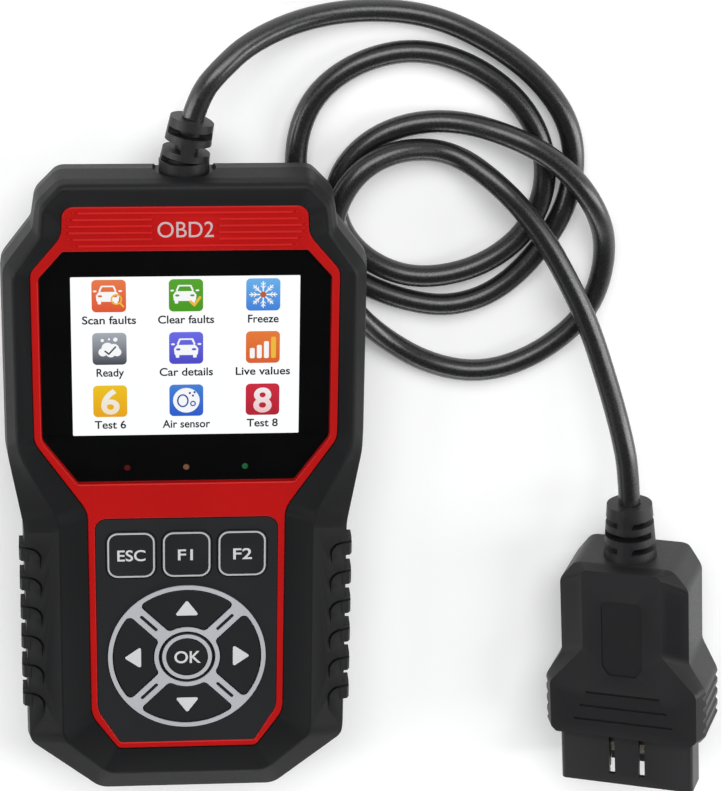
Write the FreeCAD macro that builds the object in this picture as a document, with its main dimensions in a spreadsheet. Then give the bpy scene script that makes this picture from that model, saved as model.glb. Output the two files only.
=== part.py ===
# A handheld diagnostic code reader with its cable and 16-pin vehicle plug.
# Millimetres. +Z is up, out of the screen; +Y points to the cable end of the handset.
# The handset lies on its back: its origin is the middle of its footprint, at table height.

import FreeCAD
import Part

import math
import os

from FreeCAD import Placement, Rotation, Vector

# ---------------------------------------------------------------- driving dimensions

SIZES = {
    # handset casing
    "case_width": 93.2,
    "case_length": 176,
    "case_height": 30,
    "parting_height": 19,
    "wing_height": 14,
    "wing_bevel": 1.2,
    "shoulder_height": 26,
    "wall": 2.2,
    "roof_underside": 25,
    "ledge_height": 27.9,
    "floor_thickness": 2.4,
    "hump_bevel_height": 7,
    "hump_bevel_inset": 4.5,
    # side grips
    "grip_count": 6,
    "grip_pitch": 8.5,
    "grip_length": 4.1,
    "grip_first_y": -12.4,
    "grip_groove_depth": 1.2,
    "grip_groove_width": 0.75,
    "grip_groove_length": 6.2,
    "grip_groove_reach": 9.2,
    "grip_groove_radius": 3.2,
    # front trim
    "bezel_thickness": 2,
    "bezel_gap": 0.1,
    "lens_ledge": 28.3,
    "lens_thickness": 1.1,
    "mask_thickness": 0.15,
    "rib_height": 0.3,
    "rib_width": 0.55,
    "rib_pitch": 1.72,
    # display
    "display_width": 57.6,
    "display_height": 43.2,
    "display_y": 41.3,
    "panel_width": 69.2,
    "panel_length": 50.6,
    "panel_thickness": 2.2,
    "backlight_thickness": 2.8,
    "led_spacing": 15.15,
    "led_y": 10.4,
    "led_radius": 0.75,
    # keypad
    "keypad_thickness": 1.8,
    "keypad_top": 29.8,
    "key_top": 30,
    "key_gap": 0.2,
    "key_flange": 0.45,
    "key_flange_thickness": 0.7,
    "key_travel": 0.5,
    "soft_key_width": 12.9,
    "soft_key_length": 13.3,
    "soft_key_corner": 3,
    "soft_key_pitch": 14.45,
    "soft_key_y": -13.7,
    "nav_y": -43.5,
    "nav_outer_radius": 20.8,
    "nav_inner_radius": 19.65,
    "hub_outer_radius": 8.65,
    "hub_inner_radius": 7.5,
    "spoke_width": 3.7,
    "spoke_slot_width": 0.95,
    "spoke_slot_length": 6.2,
    "trim_thickness": 0.35,
    "ok_radius": 6.95,
    "ok_ring_outer": 6.65,
    "ok_ring_inner": 5.55,
    # electronics
    "board_top": 22,
    "board_thickness": 1.6,
    "board_width": 66,
    "board_high_y": 73.6,
    "board_low_y": -71,
    "switch_height": 3.5,
    "switch_plunger": 0.6,
    # fasteners
    "screw_shank_radius": 1.25,
    "screw_head_radius": 2.5,
    "screw_head_height": 1.9,
    "upper_screw_x": 40.6,
    "upper_screw_y": 57,
    "lower_screw_x": 36.5,
    "lower_screw_y": -62,
    "board_screw_x": 29.5,
    "board_screw_high_y": 70.2,
    "board_screw_low_y": -67,
    # cable and its glands
    "clamp_y": 67,
    "clamp_height": 12,
    "cable_radius": 2.9,
    "gland_height": 18,
    "gland_radius": 6.4,
    "gland_neck_radius": 4.6,
    "gland_length": 12.4,
    "gland_lean": 10.5,
    # plug
    "plug_x": 122.2,
    "plug_y": -51.3,
    "plug_yaw": 4,
    "plug_roll": 24,
    "plug_depth": 14.5,
    "plug_ramp_start": 17,
    "plug_ramp_height": 4,
    "plug_keel": 5,
    "plug_front": 11,
    "plug_waist": 7.5,
    "plug_wall": 1.8,
    "plug_cable_end": 28.5,
    "plug_socket_end": 23,
    "relief_length": 15,
    "shroud_half_width": 18.6,
    "shroud_length": 15.4,
    "shroud_wall": 1.3,
    "pin_pitch": 4,
    "pin_length": 8.4,
    "core_depth": 3,
}

# The cable's route, from the handset's gland to the plug's strain relief: x, y, height.
CABLE_ROUTE = [
    (2.25, 100.7, 18.0), (4.1, 106.7, 18.0), (8.5, 112.2, 17.2), (16.8, 118.8, 12.8), (31.0, 123.4, 6.4),
    (47.5, 124.8, 3.0), (64.0, 123.0, 3.0), (79.8, 115.5, 3.0), (92.8, 105.2, 3.0), (101.0, 92.5, 3.0),
    (101.8, 77.0, 3.0), (95.8, 62.6, 3.0), (84.0, 49.2, 3.0), (71.0, 44.3, 3.0), (57.5, 46.4, 3.0),
    (43.8, 52.5, 3.0), (34.0, 62.8, 3.0), (29.4, 76.2, 3.0), (29.0, 91.0, 3.0), (34.0, 103.2, 3.0),
    (45.5, 111.6, 3.0), (60.5, 114.6, 3.0), (76.6, 109.2, 3.0), (89.6, 97.6, 3.0), (95.4, 81.5, 3.0),
    (91.0, 65.6, 3.0), (78.2, 55.2, 3.0), (61.5, 52.0, 3.0), (48.4, 57.0, 3.0), (40.3, 66.4, 3.0),
    (39.0, 78.4, 3.0), (45.6, 88.6, 3.0), (56.8, 94.6, 3.0), (70.5, 95.6, 3.4), (84.0, 93.0, 9.3),
    (96.4, 86.2, 9.3), (106.2, 75.2, 9.3), (111.8, 60.5, 3.0), (108.4, 43.5, 3.0), (96.0, 31.4, 3.0),
    (80.5, 25.4, 3.0), (65.5, 28.0, 3.0), (52.0, 36.6, 4.0), (42.5, 47.5, 9.4), (38.0, 60.2, 9.4),
    (38.6, 73.6, 9.4), (45.0, 84.4, 9.3), (56.2, 89.0, 6.6), (70.0, 87.2, 3.2), (82.6, 78.9, 9.0),
    (92.6, 67.2, 9.4), (100.0, 54.6, 9.4), (106.5, 41.5, 9.4), (111.7, 26.6, 11.2), (115.7, 13.4, 14.2),
    (118.52, 1.37, 15.28), (119.39, -11.2, 15.28),
]

doc = FreeCAD.newDocument("code_reader")
sheet = doc.addObject("Spreadsheet::Sheet", "Sizes")
for row, (alias, value) in enumerate(SIZES.items(), start=1):
    sheet.set(f"A{row}", alias)
    sheet.set(f"B{row}", str(value))
    sheet.setAlias(f"B{row}", alias)
doc.recompute()

sub_parts = []


def size(alias):
    """A driving dimension, as the sheet holds it."""
    return float(sheet.get(alias))


# ---------------------------------------------------------------- outlines

def mirrored(half):
    """A whole outline from its right half: (x, y, corner radius), top to bottom."""
    return half + [(-x, y, r) for x, y, r in reversed(half)]


def inset(outline, distance):
    """The same outline with every side moved inwards; its corners run clockwise."""
    moved = []
    count = len(outline)
    for i, (x, y, r) in enumerate(outline):
        before = outline[i - 1]
        after = outline[(i + 1) % count]
        u = Vector(x - before[0], y - before[1], 0).normalize()
        v = Vector(after[0] - x, after[1] - y, 0).normalize()
        normals = Vector(u.y, -u.x, 0) + Vector(v.y, -v.x, 0)
        shift = normals * (distance / (1 + u.dot(v)))
        convex = u.cross(v).z < 0
        radius = max(r - distance if convex else r + distance, 0.4)
        moved.append((x + shift.x, y + shift.y, radius))
    return moved


def rounded(outline, height=0):
    """Lines and tangent arcs along an outline with rounded corners."""
    corners = []
    count = len(outline)
    for i, (x, y, r) in enumerate(outline):
        point = Vector(x, y, height)
        before = outline[i - 1]
        after = outline[(i + 1) % count]
        u = (Vector(before[0], before[1], height) - point).normalize()
        v = (Vector(after[0], after[1], height) - point).normalize()
        half_angle = u.getAngle(v) / 2
        reach = r / math.tan(half_angle)
        middle = point + (u + v).normalize() * (r / math.sin(half_angle) - r)
        corners.append((point + u * reach, middle, point + v * reach))
    pieces = []
    for i, (start, middle, end) in enumerate(corners):
        pieces.append(Part.Arc(start, middle, end))
        pieces.append(Part.LineSegment(end, corners[(i + 1) % count][0]))
    return pieces


def rectangle(width, length, x=0, y=0, corner=0.5):
    """A rectangle with rounded corners about a centre."""
    w, n = width / 2, length / 2
    return [(x + w, y + n, corner), (x + w, y - n, corner), (x - w, y - n, corner), (x - w, y + n, corner)]


def case_outline():
    w, n = size("case_width") / 2, size("case_length") / 2
    return mirrored([
        (w - 14.8, n, 4), (w - 9.0, n - 6.0, 5), (w - 7.9, n - 13.0, 3), (w, n - 23.4, 6),
        (w, n - 74.0, 25), (w - 3.9, n - 95.0, 20), (w - 3.9, 16.2 - n, 4), (w - 22.6, -n, 6),
    ])


def shoulder_outline():
    """Where the walls end and the front bevel starts; the keypad end leans in the most."""
    w, n = size("case_width") / 2, size("case_length") / 2
    return mirrored([
        (w - 15.2, n - 0.5, 4), (w - 9.5, n - 6.4, 5), (w - 8.5, n - 13.3, 3), (w - 0.8, n - 23.7, 6),
        (w - 0.8, n - 74.2, 25), (w - 4.5, n - 95.0, 20), (w - 4.7, 18.4 - n, 4), (w - 23.2, 3.7 - n, 6),
    ])


def plateau_outline():
    """The flat front rim, inside the bevel that falls away to the sides."""
    w, n = size("case_width") / 2, size("case_length") / 2
    return mirrored([
        (w - 15.8, n - 1.2, 3), (w - 10.8, n - 6.9, 4), (w - 10.2, n - 14.4, 3.5), (w - 3.4, n - 24.6, 5),
        (w - 3.6, n - 72.5, 20), (w - 13.8, n - 91.5, 14), (w - 13.6, 20.5 - n, 5), (w - 25.6, 10.0 - n, 6),
    ])


def hump_outline():
    """The part of the back that stands on the table; the head overhangs it on both sides."""
    w, n = size("case_width") / 2, size("case_length") / 2
    return mirrored([
        (19.0, n - 8.0, 5), (21.5, n - 14.0, 5), (21.5, n - 62.0, 12), (w - 1.4, n - 78.0, 10),
        (w - 4.7, n - 96.0, 20), (w - 4.7, 16.8 - n, 4), (w - 23.4, 0.9 - n, 6),
    ])


def bezel_outline():
    w, n = size("case_width") / 2, size("case_length") / 2
    return mirrored([
        (w - 15.9, n - 6.6, 3), (w - 15.6, n - 14.4, 6), (w - 7.7, n - 23.8, 4), (w - 7.7, n - 69.7, 6),
        (w - 21.0, n - 89.2, 8), (w - 21.1, 27.5 - n, 8), (w - 28.2, 17.4 - n, 2),
    ])


LENS = mirrored([(30.6, 69.5, 1), (36.8, 62.4, 2), (36.8, 18.7, 3), (27.9, 6.6, 1.2)])
DISPLAY_WINDOW = mirrored([(35.4, 67.4, 1.5), (35.4, 17.5, 3), (28.6, 7.8, 2)])
KEYPAD = mirrored([(23.6, -3.5, 3), (23.6, -59.0, 6), (17.8, -68.7, 1.2)])

# ---------------------------------------------------------------- document helpers


def body(label):
    made = doc.addObject("PartDesign::Body", label)
    made.Label = label
    sub_parts.append(made)
    return made


def sketch(owner, loops, height):
    """A sketch on the body's own XY plane, raised by an expression."""
    made = owner.newObject("Sketcher::SketchObject", owner.Name + "_sketch")
    plane = [f for f in owner.Origin.OriginFeatures if f.Role == "XY_Plane"][0]
    made.AttachmentSupport = [(plane, "")]
    made.MapMode = "FlatFace"
    made.setExpression(".AttachmentOffset.Base.z", height)
    for loop in loops:
        made.addGeometry(loop, False)
    return made


def pad(owner, loops, height, depth):
    made = owner.newObject("PartDesign::Pad", owner.Name + "_pad")
    made.Profile = sketch(owner, loops, height)
    made.setExpression("Length", depth)
    doc.recompute()
    return made


def pocket(owner, loops, height, depth):
    """Cuts down from a height, and checks that it did."""
    before = owner.Shape.Volume
    made = owner.newObject("PartDesign::Pocket", owner.Name + "_pocket")
    made.Profile = sketch(owner, loops, height)
    made.setExpression("Length", depth)
    doc.recompute()
    if owner.Shape.Volume > before - 0.01:
        raise RuntimeError(f"a pocket in {owner.Label} cuts nothing")
    return made


def loft(owner, lower, low_height, upper, high_height):
    """A ruled loft between two outlines with as many corners."""
    made = owner.newObject("PartDesign::AdditiveLoft", owner.Name + "_loft")
    made.Profile = sketch(owner, [rounded(lower)], low_height)
    made.Sections = [sketch(owner, [rounded(upper)], high_height)]
    made.Ruled = True
    doc.recompute()
    return made


def soften(owner, height, radius, kind="Fillet", keep=None):
    """Rounds or bevels the edges that lie flat at a height."""
    base = owner.Tip
    names = []
    for i, edge in enumerate(base.Shape.Edges, start=1):
        flat = all(abs(v.Point.z - height) < 1e-4 for v in edge.Vertexes)
        if flat and (keep is None or keep(edge.CenterOfMass)):
            names.append(f"Edge{i}")
    made = owner.newObject(f"PartDesign::{kind}", f"{owner.Name}_{kind.lower()}")
    made.Base = (base, names)
    setattr(made, "Radius" if kind == "Fillet" else "Size", radius)
    doc.recompute()
    if "Invalid" in made.State or not made.Shape.isValid():
        raise RuntimeError(f"the {kind} on {owner.Label} at {height} failed")
    return made


def feature(label, shape, placement=None):
    """A sub-part whose shape comes straight from Part's own functions."""
    made = doc.addObject("Part::Feature", label)
    made.Label = label
    made.Shape = shape
    if placement is not None:
        made.Placement = placement
    sub_parts.append(made)
    return made


def prism(outline, low, high):
    wire = Part.Wire([piece.toShape() for piece in rounded(outline, low)])
    return Part.Face(wire).extrude(Vector(0, 0, high - low))


def slab(x0, x1, y0, y1, z0, z1):
    return Part.makeBox(x1 - x0, y1 - y0, z1 - z0, Vector(x0, y0, z0))


def post(x, y, z0, z1, radius):
    return Part.makeCylinder(radius, z1 - z0, Vector(x, y, z0))


def circle(x, y, radius):
    return Part.Circle(Vector(x, y, 0), Vector(0, 0, 1), radius)


# ---------------------------------------------------------------- casing

def case_screw_places():
    upper = [(s * size("upper_screw_x"), size("upper_screw_y")) for s in (1, -1)]
    lower = [(s * size("lower_screw_x"), size("lower_screw_y")) for s in (1, -1)]
    return upper, lower


def board_screw_places():
    x = size("board_screw_x")
    return [(s * x, size(f"board_screw_{end}_y")) for end in ("high", "low") for s in (1, -1)]


def grip_tops():
    return [size("grip_first_y") - i * size("grip_pitch") for i in range(int(size("grip_count")))]


def grip_lobes():
    """Short lobes that stand out of the front shell's side walls."""
    w, low, high = size("case_width") / 2, size("parting_height"), size("shoulder_height")
    profile = [
        (w - 5.2, low), (w - 2.9, low), (w - 3.0, high - 1.0), (w - 3.6, high + 0.1),
        (w - 5.4, high + 0.5), (w - 5.8, high - 0.6),
    ]
    lobes = []
    for y in grip_tops():
        for side in (1, -1):
            corners = [Vector(side * x, y, z) for x, z in profile]
            wire = Part.makePolygon(corners + corners[:1])
            lobes.append(Part.Face(wire).extrude(Vector(0, -size("grip_length"), 0)))
    return lobes


def grip_grooves():
    """Hooked grooves in the front bevel, one above each lobe; each runs out towards its lower end."""
    w, shoulder = size("case_width") / 2, size("shoulder_height")
    width, depth = size("grip_groove_width"), size("grip_groove_depth")
    length, reach, radius = size("grip_groove_length"), size("grip_groove_reach"), size("grip_groove_radius")
    block = 12
    rise = (size("case_height") - shoulder) / 9.1
    grooves = []
    for top in grip_tops():
        for side in (1, -1):
            corners = []
            for x, y, drop in ((w - 2, top, depth), (w - reach, top, depth),
                               (w - reach, top - length, 0), (w - 2, top - length, 0)):
                corners.append(Vector(side * x, y, shoulder + (w - 4.6 - x) * rise - drop))
            above = Part.Face(Part.makePolygon(corners + corners[:1])).extrude(Vector(0, 0, 8))
            x, y = side * (w - reach + block / 2), top - block / 2
            outer = rectangle(block, block, x, y, radius)
            inner = rectangle(block, block, x + side * width, y - width, radius - width)
            hook = prism(outer, shoulder - 4, shoulder + 8).cut(prism(inner, shoulder - 5, shoulder + 9))
            grooves.append(above.common(hook))
    return grooves


def make_front_shell():
    shell = body("front_shell")
    outline = case_outline()
    shoulder = shoulder_outline()
    loft(shell, outline, "Sizes.parting_height", shoulder, "Sizes.shoulder_height")
    loft(shell, shoulder, "Sizes.shoulder_height", plateau_outline(), "Sizes.case_height")
    soften(shell, size("case_height"), 1.6)
    cavity = inset(shoulder, size("wall"))
    pocket(shell, [rounded(cavity)], "Sizes.roof_underside", "Sizes.roof_underside - Sizes.parting_height")
    for window in (DISPLAY_WINDOW, inset(KEYPAD, 0.5)):
        pocket(shell, [rounded(window)], "Sizes.case_height", "Sizes.case_height - Sizes.roof_underside")
    recess = inset(bezel_outline(), -size("bezel_gap"))
    pocket(shell, [rounded(recess)], "Sizes.case_height", "Sizes.case_height - Sizes.ledge_height")
    upper, lower = case_screw_places()
    low, high = size("parting_height"), size("roof_underside")
    solid = shell.Shape
    bosses = [post(x, y, low, high + 0.6, 3.1) for x, y in upper + lower]
    bosses += grip_lobes()
    # The board hangs from short posts under the roof.
    bosses += [post(x, y, size("board_top"), high + 0.6, 2.6) for x, y in board_screw_places()]
    solid = solid.fuse(bosses)
    pilots = [post(x, y, low - 1, high - 0.2, size("screw_shank_radius") + 0.05) for x, y in upper + lower]
    pilots += [post(x, y, size("board_top") - 1, high - 0.4, 1.05) for x, y in board_screw_places()]
    pilots += gland_cuts()
    finished = solid.cut(pilots + grip_grooves()).removeSplitter()
    base = shell
    sub_parts.remove(shell)
    base.Label = "front_shell_blank"
    feature("front_shell", finished)


def gland_cuts():
    """The hole for the gland's neck and the shallow round recess outside it."""
    n = size("case_length") / 2
    centre = Vector(0, n - 12, size("gland_height"))
    neck = Part.makeCylinder(size("gland_neck_radius") + 0.15, 20, centre, Vector(0, 1, 0))
    recess = Part.makeCylinder(8, 4, Vector(0, n - 1.2, size("gland_height")), Vector(0, 1, 0))
    flange = Part.makeCylinder(7.2, 2.3, Vector(0, n - 4.75, size("gland_height")), Vector(0, 1, 0))
    return [neck, recess, flange]


def make_back_shell():
    shell = body("back_shell")
    hump = hump_outline()
    foot = inset(hump, size("hump_bevel_inset"))
    loft(shell, foot, "0", hump, "Sizes.hump_bevel_height")
    pad(shell, [rounded(hump)], "Sizes.hump_bevel_height", "Sizes.wing_height - Sizes.hump_bevel_height")
    outline = case_outline()
    edge = "Sizes.wing_height + Sizes.wing_bevel"
    loft(shell, inset(outline, size("wing_bevel")), "Sizes.wing_height", outline, edge)
    pad(shell, [rounded(outline)], edge, f"Sizes.parting_height - ({edge})")
    wings = inset(outline, size("wall"))
    pocket(shell, [rounded(wings)], "Sizes.parting_height", "Sizes.parting_height - Sizes.wing_height - Sizes.wall")
    upper_well, lower_well = inset(hump, size("wall") + 0.2), inset(hump, size("hump_bevel_inset") + 1.5)
    ledge = "Sizes.hump_bevel_height + 0.5"
    pocket(shell, [rounded(upper_well)], "Sizes.parting_height", f"Sizes.parting_height - ({ledge})")
    pocket(shell, [rounded(lower_well)], ledge, f"{ledge} - Sizes.floor_thickness")
    upper, lower = case_screw_places()
    low, wing, high = 0, size("wing_height"), size("parting_height")
    bosses = [post(x, y, wing, high, 3.1) for x, y in upper]
    bosses += [post(x, y, low + 1, high, 4.2) for x, y in lower]
    clamp_y, clamp_z = size("clamp_y"), size("clamp_height")
    for side in (7.7, -7.7):
        bosses.append(slab(side - 1.6, side + 1.6, clamp_y - 2.5, clamp_y + 2.5, 2, clamp_z - 0.05))
    # A small housing under the head carries the lower half of the cable's gland.
    bosses.append(slab(-8.6, 8.6, 78, 86, 9.8, wing + 3))
    solid = shell.Shape.fuse(bosses)
    shank = size("screw_shank_radius") + 0.25
    head = size("screw_head_radius") + 0.25
    holes = [post(x, y, wing - 1, high + 1, shank) for x, y in upper]
    holes += [post(x, y, wing - 1, wing + 2.6, head) for x, y in upper]
    holes += [post(x, y, -1, high + 1, shank) for x, y in lower]
    holes += [post(x, y, -1, 9, head) for x, y in lower]
    # A shallow recess for the blank rating label.
    holes.append(prism(rectangle(54, 34, 0, -32, 2), -1, 0.35))
    holes += [post(s * 7.7, clamp_y, clamp_z - 5, clamp_z + 1, 0.65) for s in (1, -1)]
    finished = solid.cut(holes + gland_cuts()).removeSplitter()
    sub_parts.remove(shell)
    shell.Label = "back_shell_blank"
    feature("back_shell", finished)


def make_back_label():
    label = body("back_label")
    pad(label, [rounded(rectangle(53.6, 33.6, 0, -32, 1.8))], "0.15", "0.2")


def make_case_screws():
    upper, lower = case_screw_places()
    shank, head = size("screw_shank_radius"), size("screw_head_radius")
    screws = []
    for places, seat, length in ((upper, size("wing_height") + 2.6, 7.5), (lower, 9, 14.5)):
        for x, y in places:
            bottom = seat - size("screw_head_height")
            slot = slab(x - 1.6, x + 1.6, y - 0.3, y + 0.3, bottom - 1, bottom + 0.9)
            cross = slab(x - 0.3, x + 0.3, y - 1.6, y + 1.6, bottom - 1, bottom + 0.9)
            crown = post(x, y, bottom, seat, head).cut([slot, cross])
            screws.append(crown.fuse(post(x, y, seat, seat + length, shank)))
    feature("case_screws", Part.makeCompound(screws))


# ---------------------------------------------------------------- bezel, lens and display

def make_red_bezel():
    bezel = body("red_bezel")
    lens_step = inset(LENS, 1.1)
    keypad_hole = inset(KEYPAD, -size("bezel_gap"))
    pad(bezel, [rounded(bezel_outline())], "Sizes.ledge_height", "Sizes.bezel_thickness")
    top = size("ledge_height") + size("bezel_thickness")
    pocket(bezel, [rounded(inset(LENS, -size("bezel_gap")))], "Sizes.ledge_height + Sizes.bezel_thickness",
           "Sizes.ledge_height + Sizes.bezel_thickness - Sizes.lens_ledge")
    pocket(bezel, [rounded(lens_step)], "Sizes.lens_ledge", "Sizes.lens_ledge - Sizes.ledge_height")
    pocket(bezel, [rounded(keypad_hole)], "Sizes.ledge_height + Sizes.bezel_thickness", "Sizes.bezel_thickness")
    soften(bezel, top, 0.45)
    ribs = []
    middle, pitch, half = 75.5, size("rib_pitch"), size("rib_width") / 2
    for i in range(6):
        y = middle + (2.5 - i) * pitch
        outer = 29.3 - 2.6 * abs(2.5 - i) ** 1.4 / 3.6
        inner = -outer if i in (0, 5) else 8.3
        spans = [(inner, outer)] if i in (0, 5) else [(inner, outer), (-outer, -inner)]
        for left, right in spans:
            ribs.append(slab(left, right, y - half, y + half, top - 0.2, top + size("rib_height")))
        for side in (1, -1):
            ribs.append(post(side * (outer + 1.1), y, top - 0.2, top + size("rib_height"), half))
    finished = bezel.Shape.fuse(ribs).removeSplitter()
    sub_parts.remove(bezel)
    bezel.Label = "red_bezel_blank"
    feature("red_bezel", finished)


def make_display():
    lens = body("display_lens")
    pad(lens, [rounded(LENS)], "Sizes.lens_ledge + Sizes.mask_thickness", "Sizes.lens_thickness")
    soften(lens, size("lens_ledge") + size("mask_thickness") + size("lens_thickness"), 0.2, "Chamfer")
    mask = body("display_mask")
    window = rectangle(size("display_width") + 0.2, size("display_height") - 0.2, 0, size("display_y") - 0.3, 0.3)
    dots = [[circle(i * size("led_spacing"), size("led_y"), size("led_radius") + 0.1)] for i in (-1, 0, 1)]
    pad(mask, [rounded(inset(LENS, 0.1)), rounded(window)] + dots, "Sizes.lens_ledge", "Sizes.mask_thickness")
    panel = body("lcd_panel")
    plate = rectangle(size("panel_width"), size("panel_length"), 0, size("display_y"), 0.8)
    pad(panel, [rounded(plate)], "Sizes.ledge_height - 0.1 - Sizes.panel_thickness", "Sizes.panel_thickness")
    light = body("lcd_backlight")
    bottom = "Sizes.ledge_height - 0.1 - Sizes.panel_thickness - Sizes.backlight_thickness"
    pad(light, [rounded(plate)], bottom, "Sizes.backlight_thickness")
    # The ribbon leaves the panel's lower edge, bends back and lands on the board.
    path = [(15.6, 25.7), (14.4, 25.7), (14.4, 22.15), (18, 22.15)]
    inner = [(18, 22.0), (14.2, 22.0), (14.2, 25.9), (15.6, 25.9)]
    corners = [Vector(-11, y, z) for y, z in path + inner]
    ribbon = Part.Face(Part.makePolygon(corners + corners[:1])).extrude(Vector(22, 0, 0))
    feature("lcd_flex", ribbon)


def make_leds():
    top = size("lens_ledge") + size("mask_thickness") - 0.05
    for name, i in (("led_red", -1), ("led_amber", 0), ("led_green", 1)):
        x, y = i * size("led_spacing"), size("led_y")
        foot = post(x, y, size("board_top"), size("board_top") + 1, 1.9)
        barrel = post(x, y, size("board_top") + 0.9, top - 0.8, 1.4)
        neck = Part.makeCone(1.4, size("led_radius"), 0.5, Vector(x, y, top - 0.8))
        tip = post(x, y, top - 0.3, top, size("led_radius"))
        feature(name, foot.fuse([barrel, neck, tip]).removeSplitter())


# ---------------------------------------------------------------- keypad

def sector(inner, outer, half_spoke, low, high, corner):
    """One quarter of the round pad, facing +Y: a ring cut by its two spokes."""
    y0 = size("nav_y")
    ring = post(0, y0, low, high, outer).cut(post(0, y0, low, high, inner))
    apex = y0 + half_spoke * math.sqrt(2)
    corners = [Vector(0, apex, low), Vector(50, apex + 50, low), Vector(-50, apex + 50, low)]
    wedge = Part.Face(Part.makePolygon(corners + corners[:1])).extrude(Vector(0, 0, high - low))
    quarter = ring.common(wedge)
    upright = [e for e in quarter.Edges if abs(e.Vertexes[0].Point.z - e.Vertexes[-1].Point.z) > (high - low) / 2]
    return quarter.makeFillet(corner, upright)


def turned(shape, angle):
    copy = shape.copy()
    copy.rotate(Vector(0, size("nav_y"), 0), Vector(0, 0, 1), angle)
    return copy


NAV_KEYS = {"key_up": 0, "key_left": 90, "key_down": 180, "key_right": -90}


def nav_key(angle):
    """A sector key: face, hidden flange and a stem over its switch."""
    gap, flange = size("key_gap"), size("key_flange")
    base = size("keypad_top") - size("keypad_thickness")
    half = size("spoke_width") / 2
    face = sector(size("hub_outer_radius") + gap, size("nav_inner_radius") - gap, half + gap,
                  base - 0.2, size("key_top"), 1.3)
    rim = [e for e in face.Edges if all(abs(v.Point.z - size("key_top")) < 1e-4 for v in e.Vertexes)]
    face = face.makeFillet(0.3, rim)
    skirt = sector(size("hub_outer_radius") + gap - flange, size("nav_inner_radius") - gap + flange,
                   half + gap - flange, base - 0.1 - size("key_flange_thickness"), base - 0.1, 1.6)
    stem = post(0, size("nav_y") + 13.5, size("board_top") + size("switch_height") + size("switch_plunger")
                + size("key_travel") + 0.05, base - 0.5, 1.6)
    return turned(face.fuse([skirt, stem]).removeSplitter(), angle)


def make_nav_keys():
    for name, angle in NAV_KEYS.items():
        feature(name, nav_key(angle))


def make_soft_keys():
    """Three soft keys and the round centre key, each a body of its own."""
    base = "Sizes.keypad_top - Sizes.keypad_thickness"
    stem_low = "Sizes.board_top + Sizes.switch_height + Sizes.switch_plunger + Sizes.key_travel + 0.05"
    skirt_low = f"{base} - 0.1 - Sizes.key_flange_thickness"
    for name, i in (("key_esc", -1), ("key_f1", 0), ("key_f2", 1)):
        key = body(name)
        x, y = i * size("soft_key_pitch"), size("soft_key_y")
        face = rectangle(size("soft_key_width"), size("soft_key_length"), x, y, size("soft_key_corner"))
        pad(key, [[circle(x, y, 1.6)]], stem_low, f"{skirt_low} - ({stem_low})")
        pad(key, [rounded(inset(face, -size("key_flange")))], skirt_low, "Sizes.key_flange_thickness")
        pad(key, [rounded(face)], f"{base} - 0.1", "Sizes.key_top - Sizes.keypad_top + Sizes.keypad_thickness + 0.1")
        soften(key, size("key_top"), 0.3)
    centre = body("key_ok")
    y = size("nav_y")
    pad(centre, [[circle(0, y, 1.6)]], stem_low, f"{skirt_low} - ({stem_low})")
    pad(centre, [[circle(0, y, size("ok_radius") + size("key_flange") - 0.1)]], skirt_low,
        "Sizes.key_flange_thickness")
    pad(centre, [[circle(0, y, size("ok_radius"))]], f"{base} - 0.1",
        "Sizes.key_top - Sizes.keypad_top + Sizes.keypad_thickness + 0.1")
    soften(centre, size("key_top"), 0.3)
    ring = body("ok_ring")
    loops = [[circle(0, y, size("ok_ring_outer") - 0.1)], [circle(0, y, size("ok_ring_inner"))]]
    pad(ring, loops, "Sizes.key_top", "Sizes.trim_thickness / 2")


def make_keypad_panel():
    """The fixed grey face round the keys, on six short legs that stand on the board."""
    low, high = size("keypad_top") - size("keypad_thickness"), size("keypad_top")
    panel = prism(KEYPAD, low, high)
    gap = size("key_gap")
    holes = []
    for i in (-1, 0, 1):
        hole = rectangle(size("soft_key_width"), size("soft_key_length"),
                         i * size("soft_key_pitch"), size("soft_key_y"), size("soft_key_corner"))
        holes.append(prism(inset(hole, -gap), low - 1, high + 1))
    quarter = sector(size("hub_outer_radius"), size("nav_inner_radius"), size("spoke_width") / 2,
                     low - 1, high + 1, 1.4)
    holes += [turned(quarter, angle) for angle in NAV_KEYS.values()]
    holes.append(post(0, size("nav_y"), low - 1, high + 1, size("ok_radius") + gap))
    legs = [post(s * x, y, size("board_top"), low + 0.5, 0.9)
            for x, y in ((21.0, -5.4), (21.4, -26.5), (17.2, -62.6)) for s in (1, -1)]
    feature("keypad_panel", panel.cut(holes).fuse(legs).removeSplitter())


def make_nav_trim():
    """The round trim: two rings joined by four slotted spokes."""
    low, high = size("keypad_top"), size("keypad_top") + size("trim_thickness")
    y = size("nav_y")
    outer = post(0, y, low, high, size("nav_outer_radius"))
    quarter = sector(size("hub_outer_radius"), size("nav_inner_radius"), size("spoke_width") / 2,
                     low - 1, high + 1, 1.4)
    openings = [turned(quarter, angle) for angle in NAV_KEYS.values()]
    openings.append(post(0, y, low - 1, high + 1, size("hub_inner_radius")))
    length, width = size("spoke_slot_length"), size("spoke_slot_width")
    middle = (size("hub_outer_radius") + size("nav_inner_radius")) / 2
    slot = rectangle(width, length, 0, y + middle, width / 2 - 0.01)
    openings += [turned(prism(slot, low - 1, high + 1), angle) for angle in (45, 135, 225, 315)]
    trim = outer.cut(openings)
    feature("nav_trim", trim)


# ---------------------------------------------------------------- electronics

def make_main_board():
    board = body("main_board")
    high, low = size("board_high_y"), size("board_low_y")
    outline = rectangle(size("board_width"), high - low, 0, (high + low) / 2, 3)
    holes = [[circle(x, y, 1.3)] for x, y in board_screw_places()]
    pad(board, [rounded(outline)] + holes, "Sizes.board_top - Sizes.board_thickness", "Sizes.board_thickness")


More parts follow.
